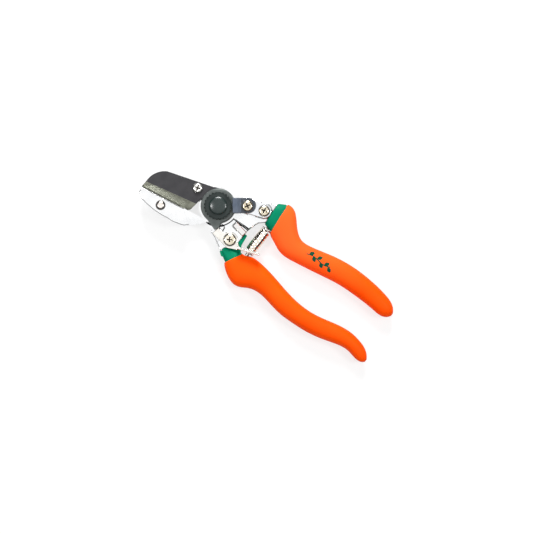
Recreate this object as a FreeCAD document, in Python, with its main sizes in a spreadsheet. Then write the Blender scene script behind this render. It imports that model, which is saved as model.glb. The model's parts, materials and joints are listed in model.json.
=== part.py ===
import FreeCAD, Part
import math
import os
import Sketcher

# Anvil pruning shears lying on their back. X runs from the pivot towards the grips,
# Y towards the upper handle, Z up from the resting plane to the nut. All sizes in mm.

LEVELS = {
    "bolt_head_top": 2.4,
    "rear_back": 2.5,
    "rear_front": 5.3,
    "half_lap": 5.4,
    "frame_back": 3.0,
    "frame_front": 9.0,
    "tang_back": 4.5,
    "tang_front": 8.5,
    "blade_back": 9.1,
    "blade_front": 12.1,
    "disc_front": 13.3,
    "wave_back": 13.4,
    "wave_front": 13.9,
    "nut_front": 16.7,
    "cap_top": 18.9,
    "bolt_end": 16.2,
    "jaw_front": 16.0,
    "slot_back": 8.4,
    "slot_front": 12.8,
    "bar_front": 12.3,
    "plate_front": 13.9,
    "plate_tip_back": 14.1,
    "plate_tip_front": 15.7,
    "catch_back": 10.2,
    "catch_front": 11.9,
    "catch_head_back": 12.0,
    "tooth_back": 5.7,
    "tab_back": 11.7,
    "tab_front": 17.6,
    "stop_front": 11.4,
    "flange_back": 1.9,
    "flange_front": 9.9,
    "grip_middle": 6.5,
    "screw_end": 4.0,
    "clear_top": 22.0,
}

SIZES = {
    "hub_radius": 14.0,
    "lap_radius": 14.8,
    "rear_radius": 11.0,
    "jaw_step_radius": 24.8,
    "bolt_head_radius": 6.2,
    "bolt_radius": 4.0,
    "bolt_bore_radius": 4.05,
    "bushing_radius": 5.6,
    "rivet_radius": 2.0,
    "rivet_head_radius": 3.3,
    "rivet_head_height": 1.2,
    "screw_radius": 2.0,
    "screw_hole_radius": 2.05,
    "catch_stem_radius": 2.5,
    "catch_bore_radius": 2.55,
    "boss_radius": 4.6,
    "blade_hub_radius": 12.0,
    "wave_radius": 8.8,
    "wave_bore_radius": 4.3,
    "nut_radius": 10.2,
    "nut_tooth_depth": 0.9,
    "nut_tooth_half_width": 1.1,
    "nut_tooth_count": 24,
    "cap_radius": 6.5,
    "disc_radius": 12.6,
    "disc_bevel": 0.7,
    "edge_break": 0.5,
    "small_break": 0.3,
    "soft_corner": 2.0,
    "blade_nose_round": 16.2,
        "bevel_over": 1.0,
    "bevel_far": -54.0,
    "bevel_far_top": -18.65,
    "bevel_far_low": -24.2,
    "bevel_far_depth": 8.93,
    "bevel_near": -12.0,
    "bevel_near_top": -8.23,
    "bevel_near_low": -16.35,
    "bevel_near_depth": 9.13,
    "belly_round": 42.0,
    "jaw_round": 60.0,
    "plate_half_width": 5.4,
    "plate_near": 10.4,
    "plate_step_in": 13.6,
    "plate_step_out": 16.6,
    "plate_far": 26.8,
    "plate_corner": 5.2,
    "plate_turn": 39.0,
    "plate_gap": 0.25,
    "plate_pin_along": 21.03,
    "plate_pin_across": -0.56,
    "bar_half_width": 5.4,
    "bar_length": 12.516,
    "bar_turn": 22.06,
    "screw_head_radius": 3.5,
    "bar_head_radius": 3.9,
    "catch_head_radius": 4.4,
    "head_height": 1.9,
    "cross_half_length": 2.1,
    "cross_half_width": 0.45,
    "cross_depth": 1.1,
    "washer_radius": 5.0,
    "catch_boss_radius": 5.8,
    "stop_length": 10.5,
    "stop_width": 4.4,
    "stop_turn": -9.0,
    "tab_thickness": 1.6,
    "tab_turn": 21.0,
    "tab_length": 16.8,
    "tab_rise": 3.2,
    "seat_radius": 3.7,
    "seat_thickness": 1.2,
    "seat_peg_radius": 1.3,
    "seat_peg_length": 3.0,
    "spring_radius": 3.85,
    "spring_strip": 0.5,
    "spring_width": 2.5,
    "spring_pitch": 3.5,
    "spring_lead": 17.0,
}

# Corner points of the flat outlines, each X and Y.
POINTS = {
    "jaw_tip": (-51.3, -22.7),
    "jaw_nose": (-51.2, -27.0),
    "jaw_chin": (-46.3, -30.2),
    "jaw_belly": (-22.0, -29.6),
    "jaw_throat": (-10.3, -26.5),
    "neck_low": (-2.1, -18.1),
    "neck_high": (1.0, -13.0),
    "jaw_heel": (-13.0, -15.5),
    "jaw_land": (-18.0, -16.45),
    "arm_root": (4.0, 12.5),
    "arm_top": (7.4, 16.1),
    "arm_end_top": (36.2, 28.6),
    "arm_end_low": (38.4, 13.6),
    "arm_under": (34.9, 12.0),
    "arm_knee": (30.7, 8.1),
    "stop_corner": (28.1, 0.0),
    "stop_start": (13.0, 0.0),
    "upper_tang_a": (34.0, 24.5),
    "upper_tang_b": (47.0, 22.5),
    "upper_tang_c": (57.0, 15.5),
    "upper_tang_d": (66.0, 13.5),
    "upper_tang_e": (90.0, 18.5),
    "upper_tang_f": (91.0, 10.9),
    "upper_tang_g": (66.0, 5.5),
    "upper_tang_h": (55.0, 7.5),
    "upper_tang_i": (45.0, 13.0),
    "upper_tang_j": (34.0, 15.5),
    "insert_tip": (-50.0, -22.46),
    "insert_end": (-21.0, -17.03),
    "insert_low": (-22.0, -25.5),
    "insert_deep": (-36.0, -28.2),
    "insert_nose": (-49.6, -26.0),
    "anvil_pin": (-32.7, -25.1),
    "blade_tip": (-52.3, -22.85),
    "blade_nose": (-51.8, -18.1),
    "blade_peak": (-44.2, -2.9),
    "blade_spine": (-11.4, 8.5),
    "blade_top": (-6.1, 10.3),
    "blade_side": (4.0, -2.0),
    "blade_low": (-12.8, -3.4),
    "blade_heel_top": (-14.2, -14.4),
    "blade_heel": (-15.5, -15.95),
    "blade_pin": (-19.5, 1.0),
    "rear_boss_top": (-19.0, 5.2),
    "rear_hub_top": (-5.0, 9.8),
    "rear_boss_low": (-20.0, -3.2),
    "rear_hub_low": (-7.0, -8.5),
    "rear_chin": (-1.0, -14.5),
    "rear_heel": (6.2, -16.0),
    "rear_toe": (7.5, -18.4),
    "lower_edge_a": (12.1, -20.0),
    "lower_edge_b": (20.0, -24.4),
    "lower_edge_c": (28.0, -26.4),
    "lower_edge_d": (36.0, -28.5),
    "lower_inner_d": (38.0, -21.0),
    "lower_inner_c": (28.0, -12.5),
    "lower_inner_b": (27.9, -4.0),
    "lower_stop_end": (27.8, -0.15),
    "lower_stop_start": (12.0, -0.15),
    "lower_hub": (3.0, -2.0),
    "front_cut_in": (12.9, -9.3),
    "front_cut_out": (15.4, -22.6),
    "front_cut_far": (2.0, -32.0),
    "front_cut_back": (-12.0, -6.0),
    "front_cut_up": (3.0, 8.0),
    "lower_tang_a": (30.0, -16.5),
    "lower_tang_b": (40.0, -20.5),
    "lower_tang_c": (56.0, -19.2),
    "lower_tang_d": (66.0, -19.6),
    "lower_tang_e": (90.0, -22.8),
    "lower_tang_f": (90.0, -30.4),
    "lower_tang_g": (66.0, -27.4),
    "lower_tang_h": (56.0, -27.4),
    "lower_tang_i": (44.0, -31.0),
    "lower_tang_j": (30.0, -25.5),
    "disc_tail_left": (-4.0, -11.5),
    "disc_tail_tip": (8.3, -15.1),
    "disc_tail_end": (9.8, -12.4),
    "disc_tail_side": (9.2, -7.0),
    "bar_pin_near": (16.7, 12.8),
    "bar_pin_far": (28.3, 17.5),
    "catch_pin": (21.5, -14.1),
    "catch_end_top": (9.8, -12.4),
    "catch_end_low": (8.6, -18.2),
    "catch_inner": (15.6, -12.7),
    "catch_shoulder": (22.0, -8.6),
    "catch_arm_top": (30.8, -14.3),
    "catch_arm_low": (30.3, -16.6),
    "catch_under": (23.4, -20.0),
    "tooth_top": (9.5, -11.6),
    "tooth_near": (8.4, -11.6),
    "tooth_low": (9.4, -16.4),
    "tooth_far": (12.0, -16.6),
    "tooth_back_top": (12.4, -12.6),
    "notch_a": (8.3, -8.9),
    "notch_b": (10.8, -8.2),
    "notch_c": (13.0, -11.0),
    "notch_d": (7.8, -13.5),
    "open_notch_a": (1.5, -12.3),
    "open_notch_b": (5.0, -12.0),
    "open_notch_c": (6.6, -15.0),
    "open_notch_d": (1.2, -15.5),
    "tab_start": (29.6, -16.2),
    "stop_middle": (22.3, -3.7),
    "flange_a": (28.0, -3.9),
    "flange_b": (29.5, -4.1),
    "flange_c": (30.6, -12.4),
    "flange_d": (33.6, -16.8),
    "flange_e": (33.0, -25.0),
    "flange_f": (23.6, -27.2),
    "flange_g": (20.7, -25.0),
    "flange_h": (25.0, -21.0),
    "flange_i": (27.5, -12.3),
    "spring_foot": (38.0, -12.4),
    "spring_head": (38.0, 7.4),
}

# Oval sections of the grips: centre X, centre Y, half width, half height, turn.
UPPER_GRIP = [
    (39.6, 19.8, 11.9, 6.3, 8.5),
    (44.0, 18.75, 13.05, 6.5, 0.0),
    (50.0, 15.3, 12.2, 6.5, 0.0),
    (56.0, 11.15, 10.15, 6.5, 0.0),
    (62.0, 9.3, 8.4, 6.5, 0.0),
    (70.0, 10.05, 7.85, 6.5, 0.0),
    (86.0, 13.8, 8.4, 6.5, 0.0),
    (102.0, 16.85, 8.25, 6.5, 0.0),
    (118.0, 17.65, 7.85, 6.5, 0.0),
    (134.0, 16.8, 7.1, 6.2, 0.0),
    (142.0, 15.75, 5.75, 5.0, 0.0),
    (145.6, 15.4, 3.2, 2.9, 0.0),
    (147.0, 15.3, 0.9, 0.8, 0.0),
]

LOWER_GRIP = [
    (31.3, -22.6, 7.4, 6.0, -25.8),
    (37.5, -25.4, 10.2, 6.4, -8.0),
    (44.0, -25.7, 12.0, 6.5, 0.0),
    (50.0, -24.6, 10.9, 6.5, 0.0),
    (56.0, -23.35, 9.05, 6.5, 0.0),
    (64.0, -23.55, 7.95, 6.5, 0.0),
    (78.0, -25.9, 7.6, 6.5, 0.0),
    (92.0, -26.7, 7.1, 6.5, 0.0),
    (106.0, -25.3, 7.1, 6.5, 0.0),
    (120.0, -21.75, 7.15, 6.5, 0.0),
    (132.0, -19.1, 6.1, 6.2, 0.0),
    (142.0, -19.8, 5.5, 5.4, 0.0),
    (148.0, -21.3, 4.6, 4.0, 0.0),
    (151.4, -22.2, 2.4, 2.2, 0.0),
    (152.5, -22.4, 0.9, 0.8, 0.0),
]

UPPER_COLLAR = [
    (34.0, 19.2, 8.9, 5.2, 4.5),
    (37.0, 19.5, 10.3, 5.8, 6.5),
    (39.9, 19.9, 11.2, 5.9, 8.6),
]

LOWER_COLLAR = [
    (22.2, -22.0, 2.6, 3.3, -16.5),
    (26.6, -22.2, 4.9, 4.4, -20.0),
    (31.5, -22.6, 6.8, 5.4, -25.8),
]

doc = FreeCAD.newDocument("pruning_shears")
sheet = doc.addObject("Spreadsheet::Sheet", "Dims")
UP = FreeCAD.Vector(0, 0, 1)


def fill_sheet():
    rows = list(LEVELS.items()) + list(SIZES.items())
    for name, (along, across) in POINTS.items():
        rows.append((name + "_x", along))
        rows.append((name + "_y", across))
    stations = (("upper_grip", UPPER_GRIP), ("lower_grip", LOWER_GRIP),
                ("upper_collar", UPPER_COLLAR), ("lower_collar", LOWER_COLLAR))
    for group, table in stations:
        for index, values in enumerate(table):
            for key, value in zip(("x", "y", "wide", "high", "turn"), values):
                rows.append(("%s_%s_%s" % (group, chr(ord("a") + index), key), value))
    for number, (name, value) in enumerate(rows, start=1):
        sheet.set("A%d" % number, name)
        sheet.set("B%d" % number, "%g" % value)
        sheet.setAlias("B%d" % number, name)
    doc.recompute()


def size(name):
    return float(sheet.get(name))


def point(name):
    return FreeCAD.Vector(size(name + "_x"), size(name + "_y"), 0)


def new_body(label):
    body = doc.addObject("PartDesign::Body", label)
    body.Label = label
    return body


def new_sketch(body, label, level=None, role="XY_Plane"):
    sketch = body.newObject("Sketcher::SketchObject", label)
    plane = [item for item in body.Origin.OriginFeatures if item.Role == role][0]
    sketch.AttachmentSupport = [(plane, "")]
    sketch.MapMode = "FlatFace"
    if level:
        sketch.setExpression("AttachmentOffset.Base.z", "Dims." + level)
    return sketch


def pin_vertex(sketch, edge, vertex, name):
    """Hold one vertex at a named point of the sheet."""
    where = point(name)
    for kind, value, axis in (("DistanceX", where.x, "x"), ("DistanceY", where.y, "y")):
        index = sketch.addConstraint(Sketcher.Constraint(kind, -1, 1, edge, vertex, value))
        sketch.renameConstraint(index, "%s_%s_%d" % (name, axis, edge))
        sketch.setExpression("Constraints.%s_%s_%d" % (name, axis, edge), "Dims.%s_%s" % (name, axis))


def arc_between(start, end, radius, side):
    """Arc of a radius from start to end; side +1 runs it anticlockwise, -1 clockwise."""
    chord = end - start
    middle = (start + end) * 0.5
    normal = FreeCAD.Vector(-chord.y, chord.x, 0).normalize()
    reach = math.sqrt(max(radius ** 2 - (chord.Length / 2.0) ** 2, 0.0))
    centre = middle + normal * (reach * side)
    first = start if side > 0 else end
    last = end if side > 0 else start
    circle = Part.Circle(centre, UP, radius)
    low = math.atan2(first.y - centre.y, first.x - centre.x)
    high = math.atan2(last.y - centre.y, last.x - centre.x)
    if high < low:
        high += 2.0 * math.pi
    return Part.ArcOfCircle(circle, low, high)


def draw_outline(sketch, corners):
    """Closed outline; each corner is a point name, or (name, radius name, side) for an arc after it."""
    corners = [item if isinstance(item, tuple) else (item, None, 0) for item in corners]
    ends = []
    for index, (name, radius, side) in enumerate(corners):
        start = point(name)
        end = point(corners[(index + 1) % len(corners)][0])
        if radius is None:
            sketch.addGeometry(Part.LineSegment(start, end), False)
            ends.append((1, 2))
        else:
            sketch.addGeometry(arc_between(start, end, size(radius), side), False)
            ends.append((1, 2) if side > 0 else (2, 1))
    for index, (name, radius, side) in enumerate(corners):
        after = (index + 1) % len(corners)
        sketch.addConstraint(Sketcher.Constraint("Coincident", index, ends[index][1], after, ends[after][0]))
    for index, (name, radius, side) in enumerate(corners):
        pin_vertex(sketch, index, ends[index][0], name)
        if radius is not None:
            number = sketch.addConstraint(Sketcher.Constraint("Radius", index, size(radius)))
            sketch.renameConstraint(number, "%s_%d" % (radius, index))
            sketch.setExpression("Constraints.%s_%d" % (radius, index), "Dims." + radius)


def draw_circle(sketch, radius, centre=None):
    where = point(centre) if centre else FreeCAD.Vector(0, 0, 0)
    edge = sketch.addGeometry(Part.Circle(where, UP, size(radius)), False)
    number = sketch.addConstraint(Sketcher.Constraint("Radius", edge, size(radius)))
    label = "%s_%d" % (radius, edge)
    sketch.renameConstraint(number, label)
    sketch.setExpression("Constraints." + label, "Dims." + radius)
    if centre:
        pin_vertex(sketch, edge, 3, centre)
    else:
        sketch.addConstraint(Sketcher.Constraint("Coincident", edge, 3, -1, 1))


def finish_extrusion(body, kind, label, sketch, low, high):
    feature = body.newObject(kind, label)
    feature.Profile = sketch
    feature.setExpression("Length", "Dims.%s - Dims.%s" % (high, low))
    sketch.Visibility = False
    doc.recompute()
    return feature


def block(body, label, corners, low, high):
    sketch = new_sketch(body, label + "_outline", low)
    draw_outline(sketch, corners)
    return finish_extrusion(body, "PartDesign::Pad", label, sketch, low, high)


def round_block(body, label, radius, low, high, centre=None):
    sketch = new_sketch(body, label + "_circle", low)
    draw_circle(sketch, radius, centre)
    return finish_extrusion(body, "PartDesign::Pad", label, sketch, low, high)


def cut_block(body, label, corners, low, high):
    sketch = new_sketch(body, label + "_outline", high)
    draw_outline(sketch, corners)
    return finish_extrusion(body, "PartDesign::Pocket", label, sketch, low, high)


def cut_round(body, label, radius, low, high, centre=None):
    sketch = new_sketch(body, label + "_circle", high)
    draw_circle(sketch, radius, centre)
    return finish_extrusion(body, "PartDesign::Pocket", label, sketch, low, high)


def dress(body, feature, kind, label, edges, amount):
    """Fillet or chamfer the numbered edges of a feature with a size of the sheet."""
    result = body.newObject(kind, label)
    result.Base = (feature, ["Edge%d" % number for number in edges])
    result.setExpression("Radius" if kind.endswith("Fillet") else "Size", "Dims." + amount)
    doc.recompute()
    return result


def upright_edges(shape, names):
    targets = [point(name) for name in names]
    found = []
    for number, edge in enumerate(shape.Edges, start=1):
        tops = [vertex.Point for vertex in edge.Vertexes]
        if len(tops) != 2 or abs(tops[0].z - tops[1].z) < 0.1:
            continue
        for target in targets:
            if all(math.hypot(p.x - target.x, p.y - target.y) < 0.02 for p in tops):
                found.append(number)
    return found


def round_corners(body, feature, label, names, amount):
    edges = upright_edges(feature.Shape, names)
    return dress(body, feature, "PartDesign::Fillet", label, edges, amount)


def rim_edges(shape, level, keep):
    """Edges lying flat at a level whose middle passes the test keep(x, y)."""
    found = []
    for number, edge in enumerate(shape.Edges, start=1):
        box = edge.BoundBox
        if abs(box.ZMin - size(level)) > 0.001 or abs(box.ZMax - size(level)) > 0.001:
            continue
        middle = edge.valueAt((edge.FirstParameter + edge.LastParameter) / 2.0)
        if keep(middle.x, middle.y):
            found.append(number)
    return found


def everywhere(along, across):
    return True


def anvil_frame():
    body = new_body("anvil_frame")
    block(body, "jaw", [
        "jaw_tip", "jaw_nose", ("jaw_chin", "jaw_round", 1), ("jaw_belly", "belly_round", 1),
        "jaw_throat", "neck_low", "neck_high", "jaw_heel", "jaw_land"], "half_lap", "jaw_front")
    round_corners(body, body.Tip, "jaw_nose_round", ["jaw_nose", "jaw_chin"], "soft_corner")
    cut_round(body, "jaw_step", "jaw_step_radius", "frame_front", "clear_top")
    round_block(body, "hub", "hub_radius", "half_lap", "frame_front")
    block(body, "arm", ["arm_root", "arm_top", "arm_end_top", "arm_end_low", "arm_under", "arm_knee",
                        "stop_corner", "stop_start"], "half_lap", "frame_front")
    round_corners(body, body.Tip, "arm_knee_round", ["arm_knee", "arm_under"], "soft_corner")
    block(body, "arm_rear", ["arm_root", "arm_top", "arm_end_top", "arm_end_low", "arm_under",
                             "arm_knee", "stop_corner", "stop_start"], "frame_back", "half_lap")
    cut_round(body, "half_lap_recess", "lap_radius", "rear_back", "half_lap")
    for label in ("notch", "open_notch"):
        corners = ["%s_%s" % (label, end) for end in "abcd"]
        cut_block(body, "catch_" + label, corners, "rear_back", "clear_top")
    block(body, "tang", ["upper_tang_a", "upper_tang_b", "upper_tang_c", "upper_tang_d",
                         "upper_tang_e", "upper_tang_f", "upper_tang_g", "upper_tang_h",
                         "upper_tang_i", "upper_tang_j"], "tang_back", "tang_front")
    cut_round(body, "pivot_bore", "bushing_radius", "rear_back", "clear_top")
    cut_block(body, "insert_slot", ["insert_tip", "insert_end", "insert_low", "insert_deep",
                                    "insert_nose"], "slot_back", "slot_front")
    cut_round(body, "pin_hole", "rivet_radius", "rear_back", "clear_top", "anvil_pin")
    cut_round(body, "near_hole", "screw_hole_radius", "frame_back", "clear_top", "bar_pin_near")
    cut_round(body, "far_hole", "screw_hole_radius", "frame_back", "clear_top", "bar_pin_far")
    return body


def blade_frame():
    body = new_body("blade_frame")
    round_block(body, "rear_hub", "rear_radius", "rear_back", "rear_front")
    block(body, "rear_web", ["rear_hub_top", "rear_boss_top", "rear_boss_low", "rear_hub_low"],
          "rear_back", "rear_front")
    round_block(body, "blade_boss", "boss_radius", "rear_back", "blade_back", "blade_pin")
    outline = ["lower_hub", "rear_chin", "rear_heel", "rear_toe", "lower_edge_a", "lower_edge_b",
               "lower_edge_c", "lower_edge_d", "lower_inner_d", "lower_inner_c", "lower_inner_b",
               "lower_stop_end", "lower_stop_start"]
    block(body, "handle_rear", outline, "rear_back", "rear_front")
    block(body, "handle_front", outline, "rear_front", "frame_front")
    cut_round(body, "half_lap_recess", "lap_radius", "rear_front", "frame_front")
    cut_block(body, "jaw_relief", ["front_cut_in", "front_cut_up", "front_cut_back", "front_cut_far",
                                   "front_cut_out"], "rear_front", "frame_front")
    block(body, "tang", ["lower_tang_a", "lower_tang_b", "lower_tang_c", "lower_tang_d",
                         "lower_tang_e", "lower_tang_f", "lower_tang_g", "lower_tang_h",
                         "lower_tang_i", "lower_tang_j"], "tang_back", "tang_front")
    cut_round(body, "pivot_bore", "bolt_bore_radius", "bolt_head_top", "clear_top")
    cut_round(body, "blade_pin_hole", "screw_hole_radius", "bolt_head_top", "clear_top", "blade_pin")
    cut_round(body, "catch_pin_hole", "catch_stem_radius", "screw_end", "clear_top", "catch_pin")
    return body


def blade():
    body = new_body("blade")
    block(body, "plate", ["blade_tip", "blade_heel", "blade_heel_top", "blade_low", "blade_side", "blade_top",
                          "blade_spine", ("blade_peak", "blade_nose_round", 1), "blade_nose"],
          "blade_back", "blade_front")
    round_block(body, "hub", "blade_hub_radius", "blade_back", "blade_front")
    sections = []
    for end in ("bevel_far", "bevel_near"):
        sketch = new_sketch(body, end + "_section", end, role="YZ_Plane")
        draw_formula(sketch, [
            (end + "_top", "blade_front"), (end + "_top", "blade_front + bevel_over"),
            (end + "_low", "blade_front + bevel_over"), (end + "_low", end + "_depth")])
        sketch.Visibility = False
        sections.append(sketch)
    doc.recompute()
    bevel = body.newObject("PartDesign::SubtractiveLoft", "bevel")
    bevel.Profile = sections[0]
    bevel.Sections = [sections[1]]
    bevel.Ruled = True
    doc.recompute()
    cut_round(body, "pivot_bore", "bolt_bore_radius", "blade_back", "clear_top")
    cut_round(body, "pin_hole", "screw_hole_radius", "blade_back", "clear_top", "blade_pin")
    return body


def anvil_insert():
    body = new_body("anvil_insert")
    block(body, "plate", ["insert_tip", "insert_end", "insert_low", "insert_deep", "insert_nose"],
          "slot_back", "slot_front")
    cut_round(body, "pin_hole", "rivet_radius", "slot_back", "clear_top", "anvil_pin")
    return body


def draw_formula(sketch, corners):
    """Closed polygon whose corners are pairs of numbers or formulas of sheet names."""
    spots = [FreeCAD.Vector(cell_value(a), cell_value(b), 0) for a, b in corners]
    count = len(spots)
    for index, spot in enumerate(spots):
        sketch.addGeometry(Part.LineSegment(spot, spots[(index + 1) % count]), False)
    for index in range(count):
        sketch.addConstraint(Sketcher.Constraint("Coincident", index, 2, (index + 1) % count, 1))
    for index, pair in enumerate(corners):
        for direction, given in zip(("DistanceX", "DistanceY"), pair):
            number = sketch.addConstraint(
                Sketcher.Constraint(direction, -1, 1, index, 1, cell_value(given)))
            name = "%s_%d" % (direction, index)
            sketch.renameConstraint(number, name)
            if isinstance(given, str):
                sketch.setExpression("Constraints." + name, bind(given))


def hold(sketch, kind, items, formula, name):
    """One dimension of a sketch bound to a formula of the sheet."""
    number = sketch.addConstraint(Sketcher.Constraint(kind, *items, cell_value(formula)))
    sketch.renameConstraint(number, name)
    sketch.setExpression("Constraints." + name, bind(formula))


def turned(body, label, corners):
    """Revolve a closed half profile, given as (radius, height) pairs, about Z."""
    sketch = new_sketch(body, label + "_profile", role="XZ_Plane")
    draw_formula(sketch, corners)
    feature = body.newObject("PartDesign::Revolution", label)
    feature.Profile = sketch
    feature.ReferenceAxis = (sketch, ["V_Axis"])
    feature.Angle = 360.0
    sketch.Visibility = False
    doc.recompute()
    return feature


def pivot_bolt():
    body = new_body("pivot_bolt")
    turned(body, "turned", [
        (0.0, 0.0), ("bolt_head_radius - edge_break", 0.0), ("bolt_head_radius", "edge_break"),
        ("bolt_head_radius", "bolt_head_top"), ("bolt_radius", "bolt_head_top"),
        ("bolt_radius", "bolt_end"), (0.0, "bolt_end")])
    return body


def ring(label, outer, inner, low, high, centre=None):
    body = new_body(label)
    round_block(body, "disc", outer, low, high, centre)
    cut_round(body, "bore", inner, low, "clear_top", centre)
    return body


def pivot_bushing():
    return ring("pivot_bushing", "bushing_radius", "bolt_bore_radius", "half_lap", "frame_front")


def wave_washer():
    return ring("wave_washer", "wave_radius", "wave_bore_radius", "wave_back", "wave_front")


def catch_washer():
    return ring("catch_washer", "washer_radius", "catch_bore_radius", "frame_front", "catch_back",
                "catch_pin")


def pivot_nut():
    body = new_body("pivot_nut")
    disc = round_block(body, "disc", "nut_radius", "wave_front", "nut_front")
    front = rim_edges(disc.Shape, "nut_front", everywhere)
    dress(body, disc, "PartDesign::Chamfer", "rim_break", front, "edge_break")
    cut_round(body, "bore", "bolt_bore_radius", "wave_front", "bolt_end")
    sketch = new_sketch(body, "tooth_gap_outline", "clear_top")
    outer = "nut_radius + nut_tooth_depth"
    draw_formula(sketch, [
        ("nut_radius - nut_tooth_depth", 0.0), (outer, "nut_tooth_half_width * 2"),
        (outer, "0 - nut_tooth_half_width * 2")])
    gap = body.newObject("PartDesign::Pocket", "tooth_gap")
    gap.Profile = sketch
    gap.setExpression("Length", "Dims.clear_top - Dims.wave_front")
    doc.recompute()
    body.Tip = gap
    pattern = body.newObject("PartDesign::PolarPattern", "tooth_gaps")
    pattern.Originals = [gap]
    pattern.Axis = (sketch, ["N_Axis"])
    pattern.Angle = 360.0
    pattern.setExpression("Occurrences", "Dims.nut_tooth_count")
    body.Tip = pattern
    body.setExpression("Placement.Rotation.Angle", "Dims.plate_turn")
    doc.recompute()
    return body


def nut_cap():
    body = new_body("nut_cap")
    turned(body, "turned", [
        (0.0, "nut_front"), ("cap_radius", "nut_front"), ("cap_radius", "nut_front + edge_break"),
        ("cap_radius * 0.86", "cap_top - edge_break * 1.4"), ("cap_radius * 0.55", "cap_top - small_break"),
        (0.0, "cap_top")])
    return body


def pivot_disc():
    body = new_body("pivot_disc")
    plate = round_block(body, "disc", "disc_radius", "blade_front", "disc_front")
    front = rim_edges(plate.Shape, "disc_front", everywhere)
    dress(body, plate, "PartDesign::Chamfer", "rim_break", front, "disc_bevel")
    block(body, "tail", ["disc_tail_left", "disc_tail_tip", "disc_tail_end", "disc_tail_side"],
          "blade_front", "disc_front")
    cut_round(body, "bore", "bolt_bore_radius", "blade_front", "clear_top")
    return body


def cross_recess(body, level_high):
    """Cross-shaped driver recess on the Z axis of the body, sunk from a level of the sheet."""
    for label, along, across in (("slot_along", "cross_half_length", "cross_half_width"),
                                 ("slot_across", "cross_half_width", "cross_half_length")):
        sketch = new_sketch(body, label + "_outline")
        sketch.setExpression("AttachmentOffset.Base.z", bind(level_high))
        low_x = "0 - " + along
        low_y = "0 - " + across
        draw_formula(sketch, [(low_x, low_y), (along, low_y), (along, across), (low_x, across)])
        slot = body.newObject("PartDesign::Pocket", label)
        slot.Profile = sketch
        slot.setExpression("Length", "Dims.cross_depth")
        doc.recompute()


def screw(label, centre, seat, head_radius, stem_radius, stem_end, turn):
    """Pan-head screw with a cross recess, standing at a point with its head on a level."""
    body = new_body(label)
    top = seat + " + head_height"
    turned(body, "turned", [
        (0.0, stem_end), (stem_radius, stem_end), (stem_radius, seat), (head_radius, seat),
        (head_radius, top + " - edge_break * 1.6"),
        (head_radius + " - edge_break * 1.2", top + " - small_break"),
        (head_radius + " * 0.6", top), (0.0, top)])
    cross_recess(body, top)
    for axis in ("x", "y"):
        body.setExpression("Placement.Base." + axis, "Dims.%s_%s" % (centre, axis))
    body.Placement.Rotation = FreeCAD.Rotation(UP, turn)
    doc.recompute()
    return body


def blade_screw():
    return screw("blade_screw", "blade_pin", "blade_front", "screw_head_radius", "screw_radius",
                 "rear_front", 20.0)


def lock_plate_screw():
    return screw("lock_plate_screw", "bar_pin_near", "plate_front", "bar_head_radius", "screw_radius",
                 "screw_end", 62.0)


def lock_bar_screw():
    return screw("lock_bar_screw", "bar_pin_far", "bar_front", "bar_head_radius", "screw_radius",
                 "screw_end", 10.0)


def catch_screw():
    return screw("catch_screw", "catch_pin", "catch_head_back", "catch_head_radius",
                 "catch_stem_radius", "screw_end", 33.0)


def anvil_rivet():
    body = new_body("anvil_rivet")
    turned(body, "turned", [
        (0.0, "half_lap - rivet_head_height"), ("rivet_head_radius * 0.6", "half_lap - rivet_head_height"),
        ("rivet_head_radius", "half_lap - small_break"), ("rivet_head_radius", "half_lap"),
        ("rivet_radius", "half_lap"), ("rivet_radius", "jaw_front"), ("rivet_head_radius", "jaw_front"),
        ("rivet_head_radius", "jaw_front + small_break"),
        ("rivet_head_radius * 0.6", "jaw_front + rivet_head_height"), (0.0, "jaw_front + rivet_head_height")])
    for axis in ("x", "y"):
        body.setExpression("Placement.Base." + axis, "Dims.anvil_pin_" + axis)
    doc.recompute()
    return body


def local_block(body, label, places, low, high, kind="PartDesign::Pad"):
    """Pad or pocket of a polygon whose corners are formulas of the sheet."""
    level = low if kind.endswith("Pad") else high
    sketch = new_sketch(body, label + "_outline", level)
    draw_formula(sketch, places)
    return finish_extrusion(body, kind, label, sketch, low, high)


def lock_bar():
    body = new_body("lock_bar")
    half = "bar_half_width"
    low = "0 - bar_half_width"
    bar = local_block(body, "bar", [
        (low, low), ("bar_length + bar_half_width", low), ("bar_length + bar_half_width", half), (low, half)],
        "frame_front", "bar_front")
    corners = [number for number, edge in enumerate(bar.Shape.Edges, start=1)
               if edge.BoundBox.ZLength > 1.0]
    rounded = dress(body, bar, "PartDesign::Fillet", "end_round", corners, "plate_corner")
    front = rim_edges(rounded.Shape, "bar_front", everywhere)
    dress(body, rounded, "PartDesign::Chamfer", "edge_break", front, "edge_break")
    for axis in ("x", "y"):
        body.setExpression("Placement.Base." + axis, "Dims.bar_pin_near_" + axis)
    body.setExpression("Placement.Rotation.Angle", "Dims.bar_turn")
    doc.recompute()
    for label, along in (("near_hole", "bar_length * 0"), ("far_hole", "bar_length")):
        free_hole(body, label, along, "bar_length * 0", "screw_hole_radius")
    return body


def free_hole(body, label, along, across, radius):
    """Through hole whose centre and radius are formulas of the sheet."""
    sketch = new_sketch(body, label + "_circle", "clear_top")
    centre = FreeCAD.Vector(cell_value(along), cell_value(across), 0)
    sketch.addGeometry(Part.Circle(centre, UP, cell_value(radius)), False)
    hold(sketch, "Radius", (0,), radius, "hole")
    hold(sketch, "DistanceX", (-1, 1, 0, 3), along, "along")
    hold(sketch, "DistanceY", (-1, 1, 0, 3), across, "across")
    finish_extrusion(body, "PartDesign::Pocket", label, sketch, "frame_back", "clear_top")


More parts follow.
